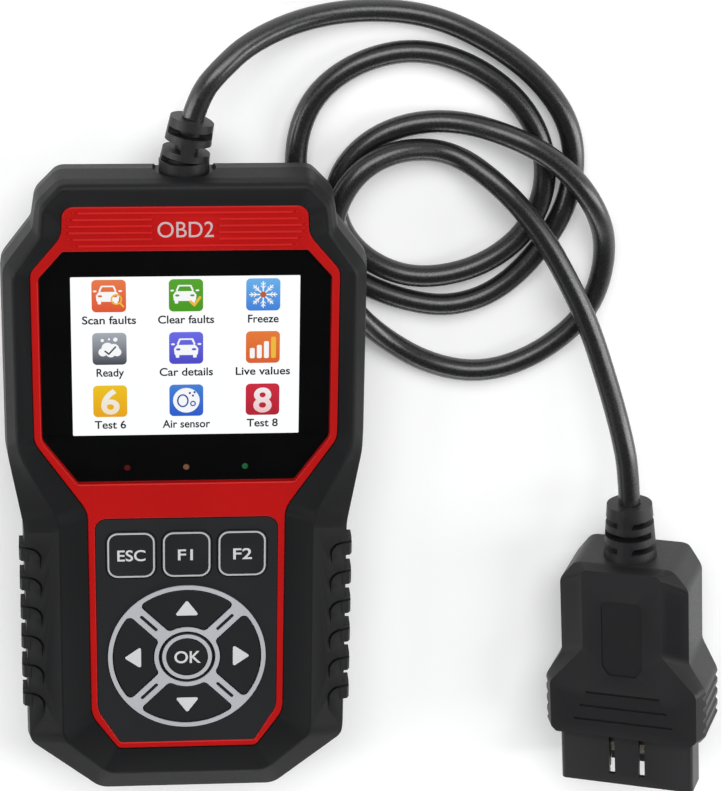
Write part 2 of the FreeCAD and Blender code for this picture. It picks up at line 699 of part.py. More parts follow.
def switch_places():
    soft = [(i * size("soft_key_pitch"), size("soft_key_y")) for i in (-1, 0, 1)]
    y = size("nav_y")
    return soft + [(0, y), (0, y + 13.5), (0, y - 13.5), (13.5, y), (-13.5, y)]


def make_key_switches():
    """One tactile switch under each key."""
    low, top = size("board_top"), size("board_top") + size("switch_height")
    switches = []
    for x, y in switch_places():
        can = slab(x - 3, x + 3, y - 3, y + 3, low, top)
        switches.append(can.fuse(post(x, y, top - 0.5, top + size("switch_plunger"), 1.7)))
    feature("key_switches", Part.makeCompound(switches))


def make_chips():
    """Packages on the back of the board: processor, memory, transceiver, regulator and passives."""
    bottom = size("board_top") - size("board_thickness")
    sizes = [
        (0, 20, 14, 14, 1.4), (19, 26, 8, 6, 1.2), (-19, 24, 8, 5.4, 1.6), (-18, 6, 5, 4, 1.5),
        (16, 8, 6, 6, 2.4), (0, -8, 10, 4, 1.6), (-14, -26, 5, 6, 1.4), (12, -30, 6.5, 6.5, 3.2),
    ]
    chips = [slab(x - w / 2, x + w / 2, y - n / 2, y + n / 2, bottom - t, bottom) for x, y, w, n, t in sizes]
    for i in range(8):
        x, y = -21 + 6 * i, 36
        chips.append(slab(x - 1, x + 1, y - 0.6, y + 0.6, bottom - 0.7, bottom))
    feature("board_chips", Part.makeCompound(chips))
    feature("buzzer", post(20, -52, bottom - 5, bottom, 4.75).cut(post(20, -52, bottom - 6, bottom - 3, 1)))


def make_board_screws():
    bottom = size("board_top") - size("board_thickness")
    screws = []
    for x, y in board_screw_places():
        head = post(x, y, bottom - 1.4, bottom, 2.2).cut(slab(x - 1.4, x + 1.4, y - 0.3, y + 0.3,
                                                             bottom - 2, bottom - 0.7))
        screws.append(head.fuse(post(x, y, bottom, size("roof_underside") - 0.9, 1.0)))
    feature("board_screws", Part.makeCompound(screws))


def make_cable_connection():
    """Inside the cable end: header on the board, crimp housing, wires, lead and its clamp."""
    bottom = size("board_top") - size("board_thickness")
    header = slab(-8, 8, 44, 50, bottom - 5.5, bottom).cut(slab(-7, 7, 45, 49, bottom - 6.5, bottom - 1))
    feature("cable_header", header)
    housing = slab(-6.8, 6.8, 45.2, 48.8, bottom - 9, bottom - 1.3)
    feature("crimp_housing", housing)
    low = bottom - 9
    wires = []
    clamp_y, clamp_z = size("clamp_y"), size("clamp_height")
    lead_end = Vector(0, clamp_y - 3.9, clamp_z - 2.4)
    for i in range(4):
        x = -4.5 + 3 * i
        start = Vector(x, 47, low)
        bend = Vector(x, 47, low - 4.2)
        spread = Vector(x * 0.3, lead_end.y - 4, lead_end.z)
        path = [start, bend, spread, Vector(x * 0.3, lead_end.y, lead_end.z)]
        wires.append(tube(path, 0.55, [1.6, 2.4]))
    feature("inner_wires", Part.makeCompound(wires))
    gland_in = size("case_length") / 2 - 4.75
    path = [lead_end, Vector(0, clamp_y + 5.6, lead_end.z), Vector(0, clamp_y + 7, size("gland_height")),
            Vector(0, gland_in, size("gland_height"))]
    feature("inner_lead", tube(path, 2.3, [2.4, 2.4]))
    strap = body("cable_clamp")
    holes = [[circle(s * 7.7, clamp_y, 0.8)] for s in (1, -1)]
    pad(strap, [rounded(rectangle(18.6, 5, 0, clamp_y, 0.6))] + holes, "Sizes.clamp_height", "1.4")
    screws = []
    for x in (7.7, -7.7):
        head = post(x, clamp_y, clamp_z + 1.4, clamp_z + 2.6, 1.5)
        slot = slab(x - 1, x + 1, clamp_y - 0.25, clamp_y + 0.25, clamp_z + 2, clamp_z + 3)
        screws.append(head.cut(slot).fuse(post(x, clamp_y, clamp_z - 4.5, clamp_z + 1.4, 0.6)))
    feature("clamp_screws", Part.makeCompound(screws))


# ---------------------------------------------------------------- cable, gland and strain relief

def tube(points, radius, bends):
    """A round tube along straight runs joined by tangent arcs."""
    points = [Vector(*p) for p in points]
    edges = []
    at = points[0]
    for i in range(1, len(points) - 1):
        u = (points[i - 1] - points[i]).normalize()
        v = (points[i + 1] - points[i]).normalize()
        half_angle = u.getAngle(v) / 2
        bend = bends[i - 1]
        reach = bend / math.tan(half_angle)
        middle = points[i] + (u + v).normalize() * (bend / math.sin(half_angle) - bend)
        start, end = points[i] + u * reach, points[i] + v * reach
        edges.append(Part.LineSegment(at, start).toShape())
        edges.append(Part.Arc(start, middle, end).toShape())
        at = end
    edges.append(Part.LineSegment(at, points[-1]).toShape())
    path = Part.Wire(edges)
    along = (points[1] - points[0]).normalize()
    ring = Part.Wire(Part.makeCircle(radius, points[0], along))
    made = path.makePipeShell([ring], True, False)
    expected = math.pi * radius ** 2 * path.Length
    if abs(made.Volume - expected) > 0.01 * expected:
        raise RuntimeError(f"a tube has volume {made.Volume:.0f} instead of {expected:.0f}")
    return made


def make_cable():
    """The free cable, as a tube with each bend as wide as its two runs allow."""
    points = [Vector(*p) for p in CABLE_ROUTE]
    radii = []
    for before, point, after in zip(points, points[1:], points[2:]):
        turn = math.pi - (before - point).getAngle(after - point)
        shorter = min((before - point).Length, (after - point).Length)
        radii.append(0.45 * shorter / math.tan(turn / 2))
    print("bend radii:", ", ".join(f"{r:.0f}" for r in radii))
    cable = tube(CABLE_ROUTE, size("cable_radius"), radii)
    print(f"cable volume {cable.Volume:.0f}, length {cable.Volume / math.pi / size('cable_radius') ** 2:.1f}")
    feature("cable", cable)


# Where each slot of a strain relief starts, and its width.
GLAND_SLOTS = [(0.9, 1.5), (4.1, 2.3), (8.3, 1.7)]
RELIEF_SLOTS = [(2.6, 1.6), (6.3, 1.7), (9.9, 1.6)]


def strain_relief(base_radius, tip_radius, length, slots, core, turned_bridges=False):
    """A tapered sleeve along +Y, cut by slots whose bridges alternate between the front and the sides."""
    axis = Vector(0, 1, 0)
    sleeve = Part.makeCone(base_radius, tip_radius, length, Vector(0, 0, 0), axis)
    half = base_radius * 0.27
    cuts = []
    for i, (y, width) in enumerate(slots):
        ring = Part.makeCylinder(base_radius + 1, width, Vector(0, y, 0), axis)
        ring = ring.cut(Part.makeCylinder(core, width, Vector(0, y, 0), axis))
        if (i % 2 == 0) != turned_bridges:
            bridge = slab(-half, half, y - 1, y + width + 1, -20, 20)
        else:
            bridge = slab(-20, 20, y - 1, y + width + 1, -half, half)
        cuts.append(ring.cut(bridge))
    return sleeve.cut(cuts)


def make_gland():
    """The handset's strain relief: a flange inside the wall, a neck through it and a slotted sleeve."""
    n, z = size("case_length") / 2, size("gland_height")
    axis = Vector(0, 1, 0)
    flange = Part.makeCylinder(7, 2, Vector(0, n - 4.6, z), axis)
    neck = Part.makeCylinder(size("gland_neck_radius"), 6, Vector(0, n - 3.4, z), axis)
    collar = Part.makeCylinder(size("gland_radius"), 3.0, Vector(0, n - 1.0, z), axis)
    base_radius = size("gland_radius") - 0.1
    sleeve = strain_relief(base_radius, base_radius - 0.7, size("gland_length"), GLAND_SLOTS, 3.0, True)
    sleeve.translate(Vector(0, -0.8, 0))
    sleeve.rotate(Vector(0, 0, 0), Vector(0, 0, 1), -size("gland_lean"))
    sleeve.translate(Vector(0, n + 1.2, z))
    whole = flange.fuse([neck, collar, sleeve])
    start = Vector(*CABLE_ROUTE[0])
    along = (Vector(*CABLE_ROUTE[1]) - start).normalize()
    mouth = Part.makeCylinder(12, 12, start, along)
    feature("gland", whole.cut(mouth).removeSplitter())


# ---------------------------------------------------------------- plug

def plug_placement():
    """The plug lies rolled onto one bevel of its back, turned a little in plan."""
    roll = Rotation(Vector(0, 1, 0), -size("plug_roll"))
    yaw = Rotation(Vector(0, 0, 1), size("plug_yaw"))
    return Placement(Vector(size("plug_x"), size("plug_y"), plug_axis_height()), yaw.multiply(roll))


def plug_axis_height():
    """How high the plug's axis is above the table when it rests on a back bevel."""
    angle = math.radians(size("plug_roll"))
    return size("plug_depth") * math.cos(angle) + size("plug_keel") * math.sin(angle)


# The plug's own frame: +Y to its cable, +Z out of its front, origin on its axis near mid length.
PLUG_OUTLINE = mirrored([
    (13.4, 28.5, 4), (17.75, 23.0, 4), (17.75, 1.0, 4), (22.4, -6.8, 4), (22.4, -20.5, 2), (20.4, -23.0, 1.5),
])
PLUG_PANEL = mirrored([
    (10.0, 27.7, 0.9), (10.9, 26.6, 0.9), (10.9, 4.0, 3), (20.4, -7.0, 3), (20.4, -21.0, 1), (19.0, -22.4, 0.8),
])
PLUG_RIDGES = [-8.7, -12.1, -15.5, -18.9]
PLUG_INNER_END = -17


def raised_loft(lower, z0, upper, z1):
    """A solid that changes from one rounded outline at z0 to another at z1."""
    wires = [Part.Wire([e.toShape() for e in rounded(o, z)]) for o, z in ((lower, z0), (upper, z1))]
    return Part.makeLoft(wires, True, True)


def side_ridge_cuts():
    """Upright scallops in the flared sides, for grip."""
    cuts = []
    for side in (1, -1):
        for y in PLUG_RIDGES:
            cuts.append(Part.makeCylinder(1.2, 40, Vector(side * 23.0, y, -20), Vector(0, 0, 1)))
    return cuts


def make_plug_front():
    """The front half: bevelled shoulders round a raised panel, fine grooves and ribbed sides."""
    front, waist = size("plug_front"), size("plug_waist")
    shell = prism(PLUG_OUTLINE, 0.0, waist).fuse(raised_loft(PLUG_OUTLINE, waist, PLUG_PANEL, front))
    cuts = [prism(inset(PLUG_OUTLINE, size("plug_wall")), -1, waist - 1)]
    cuts.append(prism(mirrored([(9.4, 25.4, 1), (9.4, 3.4, 1), (18.2, -7.6, 1), (18.2, -20.2, 1)]), -1,
                      front - size("plug_wall")))
    label = mirrored([(4.6, 19.0, 1.5), (5.6, 17.4, 1.5), (5.6, -0.6, 1.5), (3.8, -3.4, 1.5)])
    cuts.append(prism(label, front - 0.25, front + 1))
    for y, half_width in ((-9.2, 10.3), (-13.4, 12.1), (-17.6, 13.8)):
        cuts.append(slab(-half_width, half_width, y - 0.3, y + 0.3, front - 0.45, front + 1))
    cuts += side_ridge_cuts() + [plug_mouth(), relief_bore()]
    feature("plug_front_shell", shell.cut(cuts).removeSplitter(), plug_placement())


def make_plug_back():
    """The back half, with two flat bevels that meet at a narrow keel."""
    depth, keel, wall = size("plug_depth"), size("plug_keel"), size("plug_wall")
    slope = math.tan(math.radians(size("plug_roll")))
    shell = prism(PLUG_OUTLINE, -depth, -0.0)
    bottom, reach = depth + 5, 30
    corners = [(keel, -depth), (reach, -depth + (reach - keel) * slope), (reach, -bottom), (keel, -bottom)]
    inner_keel = keel - wall * slope
    for side in (1, -1):
        wedge = [Vector(side * x, -60, z) for x, z in corners]
        shell = shell.cut(Part.Face(Part.makePolygon(wedge + wedge[:1])).extrude(Vector(0, 120, 0)))
    # The inside keeps the same keel and bevels, one wall further in.
    floor = -depth + wall
    run = -floor / slope
    section = [(-inner_keel - run, 1), (-inner_keel - run, 0), (-inner_keel, floor), (inner_keel, floor),
               (inner_keel + run, 0), (inner_keel + run, 1)]
    hollow = [Vector(x, -60, z) for x, z in section]
    hollow = Part.Face(Part.makePolygon(hollow + hollow[:1])).extrude(Vector(0, 120, 0))
    hollow = hollow.common(prism(inset(PLUG_OUTLINE, wall), -depth, 1)).cut(plug_end_ramp(wall))
    cuts = [plug_end_ramp(0), hollow, plug_mouth(), relief_bore()] + side_ridge_cuts()
    feature("plug_back_shell", shell.cut(cuts).removeSplitter(), plug_placement())


def plug_end_ramp(rise):
    """The space under the plug where its back rises towards the cable."""
    start, end = size("plug_ramp_start"), size("plug_cable_end")
    depth = size("plug_depth") - rise
    slope = size("plug_ramp_height") / (end - start)
    corners = [(start - 10, -depth - 10 * slope), (end + 5, -depth + (end + 5 - start) * slope),
               (end + 5, -40), (start - 10, -40)]
    ramp = [Vector(-40, y, z) for y, z in corners]
    return Part.Face(Part.makePolygon(ramp + ramp[:1])).extrude(Vector(80, 0, 0))


def shroud_outline(grow=0.0):
    """The shroud's section in XZ: a wide front and a narrower back, as the vehicle socket has."""
    w = size("shroud_half_width") + grow
    return [(-w, 0.0), (-w, 8.2 + grow), (w, 8.2 + grow), (w, 0.0), (w - 3.2, -7.0 - grow), (-w + 3.2, -7.0 - grow)]


def shroud_solid(grow, y0, y1):
    corners = [Vector(x, y0, z) for x, z in shroud_outline(grow)]
    solid = Part.Face(Part.makePolygon(corners + corners[:1])).extrude(Vector(0, y1 - y0, 0))
    along = [e for e in solid.Edges if abs(e.Vertexes[0].Point.y - e.Vertexes[-1].Point.y) > abs(y1 - y0) / 2]
    return solid.makeFillet(1.4 + grow if grow > -1 else 0.5, along)


def shroud_mouth_y():
    return -size("plug_socket_end") - size("shroud_length")


def core_face_y():
    return -size("plug_socket_end") - size("core_depth")


def plug_mouth():
    """The opening in the two halves that the shroud and its core sit in."""
    return shroud_solid(0.1, shroud_mouth_y() - 5, PLUG_INNER_END + 1)


def relief_bore():
    return Part.makeCylinder(6.1, 12, Vector(0, size("plug_cable_end") - 7.5, 0), Vector(0, 1, 0))


def make_plug_shroud():
    low = shroud_mouth_y()
    shroud = shroud_solid(0, low, PLUG_INNER_END).cut(shroud_solid(-size("shroud_wall"), low - 1, PLUG_INNER_END + 1))
    slots = [slab(x - 0.8, x + 0.8, low + 3.0, -size("plug_socket_end") - 1.0, 5, 10) for x in (-4.0, 4.4)]
    feature("plug_shroud", shroud.cut(slots).removeSplitter(), plug_placement())


def pin_places():
    """Two rows of eight contacts, as (x, z) in the plug's frame."""
    return [((i - 3.5) * size("pin_pitch"), z) for z in (4.9, -3.3) for i in range(8)]


def make_plug_core():
    face, tail = core_face_y(), PLUG_INNER_END + 5
    core = shroud_solid(-size("shroud_wall") - 0.1, face, PLUG_INNER_END)
    holes = []
    pins = []
    for x, z in pin_places():
        holes.append(slab(x - 1.0, x + 1.0, face - 5, tail, z - 0.45, z + 0.45))
        pins.append(slab(x - 0.95, x + 0.95, face - size("pin_length"), tail, z - 0.4, z + 0.4))
    feature("plug_core", core.cut(holes).removeSplitter(), plug_placement())
    feature("plug_pins", Part.makeCompound(pins), plug_placement())


def make_plug_relief():
    """The plug's strain relief: a neck held in the two halves, a slotted sleeve and the cable's seat."""
    axis = Vector(0, 1, 0)
    end, length = size("plug_cable_end") + 0.05, size("relief_length")
    sleeve = strain_relief(7.2, 6.1, length, RELIEF_SLOTS, 3.8)
    sleeve.translate(Vector(0, end, 0))
    neck = Part.makeCylinder(6, 7.4, Vector(0, end - 7.3, 0), axis)
    seat = 4
    bore = Part.makeCylinder(size("cable_radius") + 0.04, seat + 1, Vector(0, end + length - seat, 0), axis)
    feature("plug_strain_relief", sleeve.fuse(neck).cut(bore).removeSplitter(), plug_placement())


# ---------------------------------------------------------------- build, check and export

def build():
    make_front_shell()
    make_back_shell()
    make_back_label()
    make_case_screws()
    make_red_bezel()
    make_display()
    make_leds()
    make_keypad_panel()
    make_nav_trim()
    make_soft_keys()
    make_nav_keys()
    make_main_board()
    make_key_switches()
    make_chips()
    make_board_screws()
    make_cable_connection()
    make_cable()
    make_gland()
    make_plug_front()
    make_plug_back()
    make_plug_shroud()
    make_plug_core()
    make_plug_relief()


def check():
    doc.recompute()
    for item in doc.Objects:
        if "Invalid" in item.State or "Error" in item.State:
            raise RuntimeError(f"{item.Label} failed: {item.State}")
    for item in sub_parts:
        if item.Shape.isNull() or not item.Shape.isValid():
            raise RuntimeError(f"{item.Label} has no valid shape")


def export():
    os.makedirs("parts", exist_ok=True)
    for item in sub_parts:
        item.Shape.exportStep(f"parts/{item.Label}.step")
        print(item.Label, len(item.Shape.Solids), "solid(s)", f"{item.Shape.Volume:.1f}")


build()
check()
export()
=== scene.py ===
"""The looks of a handheld vehicle code reader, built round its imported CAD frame."""

import math

import bmesh
import bpy
from mathutils import Matrix, Vector


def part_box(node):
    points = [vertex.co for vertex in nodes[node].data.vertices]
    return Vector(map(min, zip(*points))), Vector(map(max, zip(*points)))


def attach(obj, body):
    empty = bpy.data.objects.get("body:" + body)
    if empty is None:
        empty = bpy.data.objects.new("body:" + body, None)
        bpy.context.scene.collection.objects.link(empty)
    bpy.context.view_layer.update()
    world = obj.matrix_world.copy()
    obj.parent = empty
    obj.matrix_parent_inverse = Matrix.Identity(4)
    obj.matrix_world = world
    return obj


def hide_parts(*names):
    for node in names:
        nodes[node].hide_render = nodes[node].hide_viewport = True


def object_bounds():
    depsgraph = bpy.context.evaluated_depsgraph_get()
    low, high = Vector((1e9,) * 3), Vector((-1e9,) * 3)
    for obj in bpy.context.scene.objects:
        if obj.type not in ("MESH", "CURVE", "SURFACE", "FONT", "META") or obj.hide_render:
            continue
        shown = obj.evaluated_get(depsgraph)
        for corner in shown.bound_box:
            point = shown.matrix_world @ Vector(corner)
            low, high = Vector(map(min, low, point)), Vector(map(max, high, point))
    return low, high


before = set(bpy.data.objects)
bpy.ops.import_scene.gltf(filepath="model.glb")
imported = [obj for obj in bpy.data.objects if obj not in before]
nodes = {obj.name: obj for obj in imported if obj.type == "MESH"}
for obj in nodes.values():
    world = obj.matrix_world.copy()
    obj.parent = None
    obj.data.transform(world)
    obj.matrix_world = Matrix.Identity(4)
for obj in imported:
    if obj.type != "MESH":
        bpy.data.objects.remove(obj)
cad_box = [list(corner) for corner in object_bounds()]

MM = 0.001
ROOT = "scanner"
PRINT, FILM = 0.04, 0.02    # thickness of the printed legends and of the display's picture, in mm


def node_middle(name):
    """The middle of a CAD node, in millimetres."""
    low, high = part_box(name)
    return (low + high) / (2 * MM)


def node_top(name):
    """The height of a CAD node's highest point, in millimetres."""
    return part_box(name)[1].z / MM


# ---------------------------------------------------------------- camera, light and floor

# The camera's place, its backward and upward directions, and its lens and the frame's height in mm.
CAMERA_AT = (-0.01877, 0.29598, 0.69631)
CAMERA_BACK = (-0.08819, 0.36904, 0.92522)
CAMERA_UP = (0.01378, 0.92920, -0.36931)
CAMERA_LENS = 127.87
FRAME_HEIGHT = 36
SCENE_MIDDLE = (0.03, 0.02, 0)
FLOOR_RADIUS, FLOOR_GAP = 1.1, 0.0002


def place_camera():
    """Looks down at the front from beyond the head of the case."""
    camera = bpy.data.objects.new("camera", bpy.data.cameras.new("camera"))
    bpy.context.scene.collection.objects.link(camera)
    back, up = Vector(CAMERA_BACK).normalized(), Vector(CAMERA_UP).normalized()
    right = up.cross(back).normalized()
    up = back.cross(right)
    turn = Matrix((right, up, back)).transposed().to_4x4()
    camera.matrix_world = Matrix.Translation(CAMERA_AT) @ turn
    camera.data.sensor_fit = "VERTICAL"
    camera.data.sensor_height = FRAME_HEIGHT
    camera.data.lens = CAMERA_LENS
    camera.data.clip_start = 0.02
    bpy.context.scene.camera = camera


def area_light(name, at, size, power):
    """A soft panel that faces the middle of the scene."""
    light = bpy.data.lights.new(name, "AREA")
    light.shape = "RECTANGLE"
    light.size, light.size_y = size
    light.energy = power
    lamp = bpy.data.objects.new(name, light)
    bpy.context.scene.collection.objects.link(lamp)
    aim = Vector(SCENE_MIDDLE) - Vector(at)
    lamp.matrix_world = Matrix.Translation(at) @ aim.to_track_quat("-Z", "Y").to_matrix().to_4x4()


def light_scene():
    """Soft panels round the bench, under a sky that is pale at the horizon and dim overhead."""
    area_light("overhead", (0.05, 0.85, 1.2), (1.4, 0.8), 17)
    area_light("left", (-1.15, 0.1, 0.5), (0.4, 1.3), 8)
    area_light("right", (1.2, 0.0, 0.5), (0.4, 1.3), 10)
    area_light("front", (0.1, -1.2, 0.35), (1.4, 0.3), 4)
    world = bpy.data.worlds.new("studio")
    world.use_nodes = True
    tree = world.node_tree
    sky = tree.nodes["Background"]
    direction = tree.nodes.new("ShaderNodeTexCoord")
    split = tree.nodes.new("ShaderNodeSeparateXYZ")
    tree.links.new(direction.outputs["Generated"], split.inputs["Vector"])
    sky.inputs["Color"].default_value = (0.97, 0.98, 1, 1)
    tree.links.new(spread(tree, split.outputs["Z"], 0.8, 0.06, 0.2, 0.62), sky.inputs["Strength"])
    bpy.context.scene.world = world
    bpy.context.scene.view_settings.view_transform = "Standard"


def make_floor():
    """A pale round bench top, just under the lowest point of the part."""
    mesh = bpy.data.meshes.new("floor")
    corners = [(x, y, 0) for x, y in oval(0, 0, FLOOR_RADIUS, steps=96)]
    mesh.from_pydata(corners, [], [range(len(corners))])
    floor = bpy.data.objects.new("floor", mesh)
    floor.location.z = cad_box[0][2] - FLOOR_GAP
    bpy.context.scene.collection.objects.link(floor)
    paint = plastic("floor_white", (0.82, 0.82, 0.82), 0.8, grain=2, depth=0.02, mottle=0.01, specular=0.2)
    glow = paint.node_tree.nodes["Principled BSDF"]
    glow.inputs["Emission Color"].default_value = (1, 1, 1, 1)
    glow.inputs["Emission Strength"].default_value = 0.22
    floor.data.materials.append(paint)


# ---------------------------------------------------------------- materials

def new_material(name):
    material = bpy.data.materials.new(name)
    material.use_nodes = True
    tree = material.node_tree
    return material, tree, tree.nodes["Principled BSDF"]


def noise(tree, scale, detail=2.0, roughness=0.5, squash=(1, 1, 1)):
    """Noise in object space; scale counts features per metre."""
    place = tree.nodes.new("ShaderNodeTexCoord")
    mapping = tree.nodes.new("ShaderNodeMapping")
    mapping.inputs["Scale"].default_value = squash
    texture = tree.nodes.new("ShaderNodeTexNoise")
    texture.inputs["Scale"].default_value = scale
    texture.inputs["Detail"].default_value = detail
    texture.inputs["Roughness"].default_value = roughness
    tree.links.new(place.outputs["Object"], mapping.inputs["Vector"])
    tree.links.new(mapping.outputs["Vector"], texture.inputs["Vector"])
    return texture.outputs["Fac"]


def spread(tree, value, low, high, start=0.3, end=0.7):
    """Maps a value from start to end onto low to high."""
    node = tree.nodes.new("ShaderNodeMapRange")
    node.inputs["From Min"].default_value = start
    node.inputs["From Max"].default_value = end
    node.inputs["To Min"].default_value = low
    node.inputs["To Max"].default_value = high
    tree.links.new(value, node.inputs["Value"])
    return node.outputs["Result"]


def blend_colours(tree, factor, first, second):
    """A mix of two colours, each a value or a socket."""
    node = tree.nodes.new("ShaderNodeMix")
    node.data_type = "RGBA"
    for socket, value in ((node.inputs["A"], first), (node.inputs["B"], second)):
        if isinstance(value, bpy.types.NodeSocket):
            tree.links.new(value, socket)
        else:
            socket.default_value = (*value, 1)
    tree.links.new(factor, node.inputs["Factor"])
    return node.outputs["Result"]


def add_bump(tree, surface, height, strength, distance):
    bump = tree.nodes.new("ShaderNodeBump")
    bump.inputs["Strength"].default_value = strength
    bump.inputs["Distance"].default_value = distance
    tree.links.new(height, bump.inputs["Height"])
    tree.links.new(bump.outputs["Normal"], surface.inputs["Normal"])


def plastic(name, colour, rough, grain=0.35, depth=0.25, mottle=0.08, edge_wear_and_highlight=0.0, coat=0.0, specular=0.5):
    """Moulded plastic or rubber: a fine grain (size in mm), slight mottling, and paler edges that are
    partly wear and partly a painted highlight.
    """
    material, tree, surface = new_material(name)
    cloud = noise(tree, 45, 3)
    pale = tuple(min(1, c * (1 + mottle) + 0.004 * mottle) for c in colour)
    dark = tuple(c * (1 - mottle) for c in colour)
    tone = blend_colours(tree, spread(tree, cloud, 0, 1), dark, pale)
    # Edges are painted paler where Pointiness is high: partly wear, partly a painted highlight along the
    # edges.
    if edge_wear_and_highlight:
        geometry = tree.nodes.new("ShaderNodeNewGeometry")
        wear_and_highlight = spread(tree, geometry.outputs["Pointiness"], 0, edge_wear_and_highlight, 0.51, 0.6)
        tone = blend_colours(tree, wear_and_highlight, tone, tuple(min(1, c * 1.7 + 0.02) for c in colour))
    tree.links.new(tone, surface.inputs["Base Color"])
    fine = noise(tree, 1000 / grain, 2, 0.6)
    tree.links.new(spread(tree, fine, rough - 0.07, rough + 0.07), surface.inputs["Roughness"])
    surface.inputs["Specular IOR Level"].default_value = specular
    surface.inputs["Coat Weight"].default_value = coat
    surface.inputs["Coat Roughness"].default_value = 0.2
    if depth:
        add_bump(tree, surface, fine, depth, 0.1 * grain * MM)
    return material


def metal(name, colour, rough, brushed=(1, 1, 12)):
    """Metal with fine drawn lines and a little tarnish."""
    material, tree, surface = new_material(name)
    lines = noise(tree, 1600, 3, 0.6, brushed)
    tarnish = noise(tree, 260, 2)
    dull = tuple(c * 0.72 for c in colour)
    tone = blend_colours(tree, spread(tree, tarnish, 0, 1), dull, colour)
    tree.links.new(tone, surface.inputs["Base Color"])
    tree.links.new(spread(tree, lines, rough - 0.08, rough + 0.1), surface.inputs["Roughness"])
    surface.inputs["Metallic"].default_value = 1
    add_bump(tree, surface, lines, 0.15, 0.02 * MM)
    return material


def clear_lens():
    """A clear window: transparent, with a thin even gloss over it."""
    material, tree, surface = new_material("lens_clear_gloss")
    tree.nodes.remove(surface)
    clear = tree.nodes.new("ShaderNodeBsdfTransparent")
    clear.inputs["Color"].default_value = (0.97, 0.975, 0.98, 1)
    gloss = tree.nodes.new("ShaderNodeBsdfGlossy")
    tree.links.new(spread(tree, noise(tree, 90, 2), 0.22, 0.28), gloss.inputs["Roughness"])
    mixer = tree.nodes.new("ShaderNodeMixShader")
    mixer.inputs["Fac"].default_value = 0.018
    tree.links.new(clear.outputs["BSDF"], mixer.inputs[1])
    tree.links.new(gloss.outputs["BSDF"], mixer.inputs[2])
    tree.links.new(mixer.outputs["Shader"], tree.nodes["Material Output"].inputs["Surface"])
    return material


def lit(name, low, high=None, strength=0.93, pixels=0.0):
    """A lit part of the display; its colour runs from low, at the bottom, to high."""
    material, tree, surface = new_material(name)
    place = tree.nodes.new("ShaderNodeTexCoord")
    split = tree.nodes.new("ShaderNodeSeparateXYZ")
    tree.links.new(place.outputs["Generated"], split.inputs["Vector"])
    tone = blend_colours(tree, split.outputs["Y"], low, high or low)
    if pixels:
        fine = spread(tree, noise(tree, 4500, 1), 0, pixels)
        tone = blend_colours(tree, fine, tone, tuple(0.86 * c for c in low))
    tree.links.new(tone, surface.inputs["Emission Color"])
    surface.inputs["Emission Strength"].default_value = strength
    surface.inputs["Base Color"].default_value = (0.005, 0.005, 0.005, 1)
    surface.inputs["Specular IOR Level"].default_value = 0.1
    surface.inputs["Roughness"].default_value = 0.6
    return material


def lamp_dome(name, colour, glow):
    """A small coloured indicator lamp, faintly lit."""
    material, tree, surface = new_material(name)
    dark = tuple(0.6 * c for c in colour)
    tone = blend_colours(tree, spread(tree, noise(tree, 900, 2), 0, 1), dark, colour)
    tree.links.new(tone, surface.inputs["Base Color"])
    tree.links.new(tone, surface.inputs["Emission Color"])
    surface.inputs["Emission Strength"].default_value = glow
    surface.inputs["Roughness"].default_value = 0.25
    return material


def board_green():
    """Solder mask over a faint pattern of tracks."""
    material, tree, surface = new_material("board_solder_mask")
    tracks = tree.nodes.new("ShaderNodeTexWave")
    tracks.inputs["Scale"].default_value = 260
    tracks.inputs["Distortion"].default_value = 6
    place = tree.nodes.new("ShaderNodeTexCoord")
    tree.links.new(place.outputs["Object"], tracks.inputs["Vector"])
    lines = spread(tree, tracks.outputs["Fac"], 0, 1, 0.55, 0.65)
    tree.links.new(blend_colours(tree, lines, (0.008, 0.09, 0.03), (0.02, 0.16, 0.06)),
                   surface.inputs["Base Color"])
    surface.inputs["Roughness"].default_value = 0.35
    return material


def coloured_wires():
    """Four wires side by side, red, black, white and green across the row."""
    material, tree, surface = new_material("wire_insulation")
    place = tree.nodes.new("ShaderNodeTexCoord")
    split = tree.nodes.new("ShaderNodeSeparateXYZ")
    ramp = tree.nodes.new("ShaderNodeValToRGB")
    ramp.color_ramp.interpolation = "CONSTANT"
    tree.links.new(place.outputs["Generated"], split.inputs["Vector"])
    tree.links.new(split.outputs["X"], ramp.inputs["Fac"])
    tones = [(0.4, 0.02, 0.02), (0.02, 0.02, 0.02), (0.6, 0.6, 0.58), (0.02, 0.3, 0.06)]
    ramp.color_ramp.elements[0].color = (*tones[0], 1)
    ramp.color_ramp.elements[1].position = 0.25
    ramp.color_ramp.elements[1].color = (*tones[1], 1)
    for position, tone in ((0.5, tones[2]), (0.75, tones[3])):
        ramp.color_ramp.elements.new(position).color = (*tone, 1)
    tree.links.new(ramp.outputs["Color"], surface.inputs["Base Color"])
    surface.inputs["Roughness"].default_value = 0.4
    return material


# ---------------------------------------------------------------- shapes

def collect(name, sources, material, body):
    """One mesh piece made of several curve or text data blocks, riding on a body."""
    joined = bmesh.new()
    for data, place in sources:
        holder = bpy.data.objects.new("holder", data)
        bpy.context.scene.collection.objects.link(holder)
        bpy.context.view_layer.update()
        mesh = bpy.data.meshes.new_from_object(holder)
        mesh.transform(place)
        joined.from_mesh(mesh)
        bpy.data.objects.remove(holder)
        bpy.data.meshes.remove(mesh)
    bmesh.ops.remove_doubles(joined, verts=joined.verts, dist=1e-7)
    mesh = bpy.data.meshes.new(name)
    joined.to_mesh(mesh)
    joined.free()
    piece = bpy.data.objects.new(name, mesh)
    bpy.context.scene.collection.objects.link(piece)
    mesh.materials.append(material)
    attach(piece, body)
    return piece


